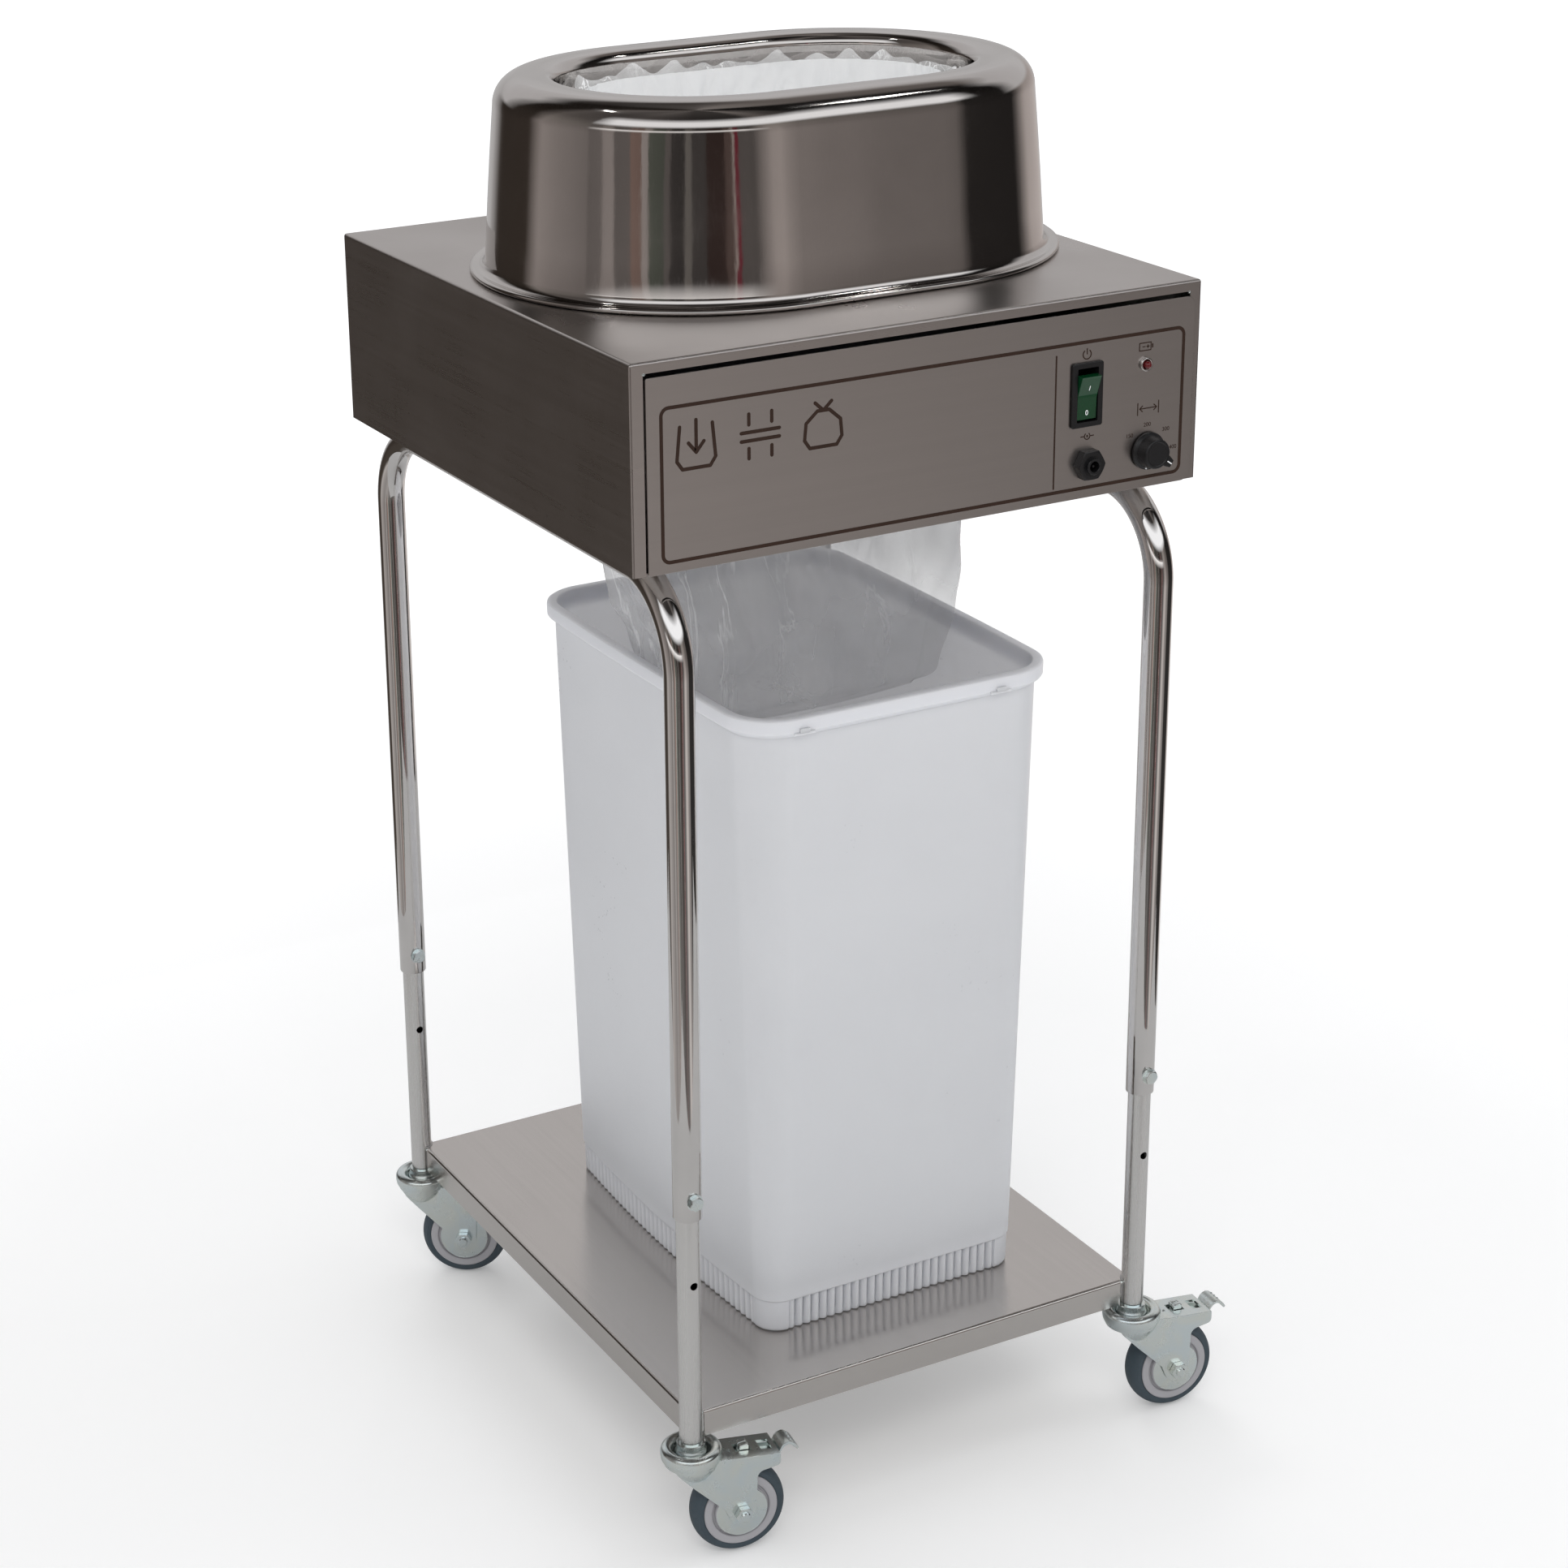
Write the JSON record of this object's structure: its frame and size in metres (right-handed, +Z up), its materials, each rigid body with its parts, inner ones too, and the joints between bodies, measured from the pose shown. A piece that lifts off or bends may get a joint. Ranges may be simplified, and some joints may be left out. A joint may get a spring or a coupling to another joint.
{
  "type": "mobile waste bag sealing stand",
  "caption": "Mobile waste sealing unit: oval steel feed hood on a boxed sealer head, held by tube hoops over a shelf with a plastic bin, on castors.",
  "frame": {"origin": "on the floor, under the middle of the whole object's box", "axes": "+Z up, the control panel faces -Y, +X to the right of someone facing the panel"},
  "size_m": [0.5224, 0.5462, 1.0837],
  "materials": {
    "bin_plastic": "satin",
    "black_plastic": "satin",
    "brushed_steel": "satin, brushed grain",
    "chrome_plate": "mirror",
    "circuit_board": "satin",
    "clear_film": "thin clear film",
    "green_plastic": "gloss",
    "grey_rubber": "matt",
    "hub_plastic": "matt",
    "polished_steel": "polished",
    "red_lens": "gloss",
    "satin_steel": "satin",
    "zinc_plate": "bright zinc"
  },
  "bodies": {
    "stand": {"shelf": "brushed_steel", "lower_leg_front_left": "satin_steel", "lower_leg_front_right": "satin_steel", "lower_leg_rear_left": "satin_steel", "lower_leg_rear_right": "satin_steel", "castor_front_left_head": "zinc_plate", "castor_front_right_head": "zinc_plate", "castor_rear_left_head": "zinc_plate", "castor_rear_right_head": "zinc_plate"},
    "head": {"housing_shell": "brushed_steel", "base_plate": "brushed_steel", "front_panel": "brushed_steel", "hoop_left": "chrome_plate", "hoop_right": "chrome_plate", "leg_bolt_front_left": "zinc_plate", "leg_bolt_front_right": "zinc_plate", "leg_bolt_rear_left": "zinc_plate", "leg_bolt_rear_right": "zinc_plate", "switch_bezel": "black_plastic", "lamp_bezel": "chrome_plate", "lamp_lens": "red_lens", "charge_socket": "black_plastic", "battery_pack": "black_plastic", "control_board": "circuit_board", "side_bracket_left": "satin_steel", "side_bracket_right": "satin_steel", "seal_bar_front": "satin_steel", "seal_actuator": "black_plastic", "feed_motor": "satin_steel", "film_collar": "polished_steel", "film_cassette": "clear_film", "film_throat": "clear_film", "film_bag": "clear_film"},
    "hood": {"hood": "polished_steel"},
    "bin": {"waste_bin": "bin_plastic"},
    "switch": {"switch_rocker": "green_plastic"},
    "dial": {"length_dial": "black_plastic"},
    "seal_jaw": {"seal_bar_rear": "zinc_plate"},
    "front_roller": {"feed_roller_front": "grey_rubber"},
    "rear_roller": {"feed_roller_rear": "grey_rubber"},
    "castor_front_left": {"castor_front_left_fork": "zinc_plate", "castor_front_left_axle_bolt": "zinc_plate"},
    "wheel_front_left": {"castor_front_left_tyre": "grey_rubber", "castor_front_left_hub": "hub_plastic"},
    "brake_front_left": {"castor_front_left_brake_pedal": "zinc_plate"},
    "castor_front_right": {"castor_front_right_fork": "zinc_plate", "castor_front_right_axle_bolt": "zinc_plate"},
    "wheel_front_right": {"castor_front_right_tyre": "grey_rubber", "castor_front_right_hub": "hub_plastic"},
    "brake_front_right": {"castor_front_right_brake_pedal": "zinc_plate"},
    "castor_rear_left": {"castor_rear_left_fork": "zinc_plate", "castor_rear_left_axle_bolt": "zinc_plate"},
    "wheel_rear_left": {"castor_rear_left_tyre": "grey_rubber", "castor_rear_left_hub": "hub_plastic"},
    "castor_rear_right": {"castor_rear_right_fork": "zinc_plate", "castor_rear_right_axle_bolt": "zinc_plate"},
    "wheel_rear_right": {"castor_rear_right_tyre": "grey_rubber", "castor_rear_right_hub": "hub_plastic"}
  },
  "joints": [
    {"name": "height_adjust", "type": "slide", "parent": "stand", "child": "head", "axis": [0, 0, 1], "range_m": [-0.0715, 0.0715], "deforming": ["film_bag"]},
    {"name": "hood_lift", "type": "slide", "parent": "head", "child": "hood", "axis": [0, 0, 1], "range_m": [0, 0.2]},
    {"name": "bin_slide", "type": "slide", "parent": "stand", "child": "bin", "axis": [0, -1, 0], "range_m": [0, 0.45], "deforming": ["film_bag"]},
    {"name": "power_switch", "type": "hinge", "parent": "head", "child": "switch", "pos_m": [0.10777, -0.2359, 0.867], "axis": [-1, 0, 0], "range_deg": [0, 22]},
    {"name": "length_dial_turn", "type": "hinge", "parent": "head", "child": "dial", "pos_m": [0.16327, -0.2424, 0.817], "axis": [0, -1, 0], "range_deg": [-10, 260]},
    {"name": "seal_jaw_close", "type": "slide", "parent": "head", "child": "seal_jaw", "axis": [0, -1, 0], "range_m": [0, 0.009]},
    {"name": "front_roller_turn", "type": "hinge", "parent": "head", "child": "front_roller", "pos_m": [-0.01623, -0.0156, 0.872], "axis": [1, 0, 0], "continuous": true},
    {"name": "rear_roller_turn", "type": "hinge", "parent": "head", "child": "rear_roller", "pos_m": [-0.01623, 0.0204, 0.872], "axis": [1, 0, 0], "continuous": true},
    {"name": "castor_front_left_swivel", "type": "hinge", "parent": "stand", "child": "castor_front_left", "pos_m": [-0.22923, -0.2446, 0.088], "axis": [0, 0, 1], "continuous": true},
    {"name": "wheel_front_left_roll", "type": "hinge", "parent": "castor_front_left", "child": "wheel_front_left", "pos_m": [-0.19368, -0.25023, 0.0375], "axis": [0.1564, 0.9877, 0], "continuous": true},
    {"name": "brake_front_left_press", "type": "hinge", "parent": "castor_front_left", "child": "brake_front_left", "pos_m": [-0.1917, -0.25054, 0.081], "axis": [0.1564, 0.9877, 0], "range_deg": [0, 8]},
    {"name": "castor_front_right_swivel", "type": "hinge", "parent": "stand", "child": "castor_front_right", "pos_m": [0.17677, -0.2446, 0.088], "axis": [0, 0, 1], "continuous": true},
    {"name": "wheel_front_right_roll", "type": "hinge", "parent": "castor_front_right", "child": "wheel_front_right", "pos_m": [0.21263, -0.24773, 0.0375], "axis": [0.0872, 0.9962, 0], "continuous": true},
    {"name": "brake_front_right_press", "type": "hinge", "parent": "castor_front_right", "child": "brake_front_right", "pos_m": [0.21462, -0.24791, 0.081], "axis": [0.0872, 0.9962, 0], "range_deg": [0, 8]},
    {"name": "castor_rear_left_swivel", "type": "hinge", "parent": "stand", "child": "castor_rear_left", "pos_m": [-0.22923, 0.2494, 0.088], "axis": [0, 0, 1], "continuous": true},
    {"name": "wheel_rear_left_roll", "type": "hinge", "parent": "castor_rear_left", "child": "wheel_rear_left", "pos_m": [-0.19837, 0.23086, 0.0375], "axis": [0.515, 0.8572, 0], "continuous": true},
    {"name": "castor_rear_right_swivel", "type": "hinge", "parent": "stand", "child": "castor_rear_right", "pos_m": [0.17677, 0.2494, 0.088], "axis": [0, 0, 1], "continuous": true},
    {"name": "wheel_rear_right_roll", "type": "hinge", "parent": "castor_rear_right", "child": "wheel_rear_right", "pos_m": [0.2106, 0.23709, 0.0375], "axis": [0.342, 0.9397, 0], "continuous": true}
  ],
  "couplings": [
    {"joint": "rear_roller_turn", "follows": "front_roller_turn", "ratio": -1}
  ]
}
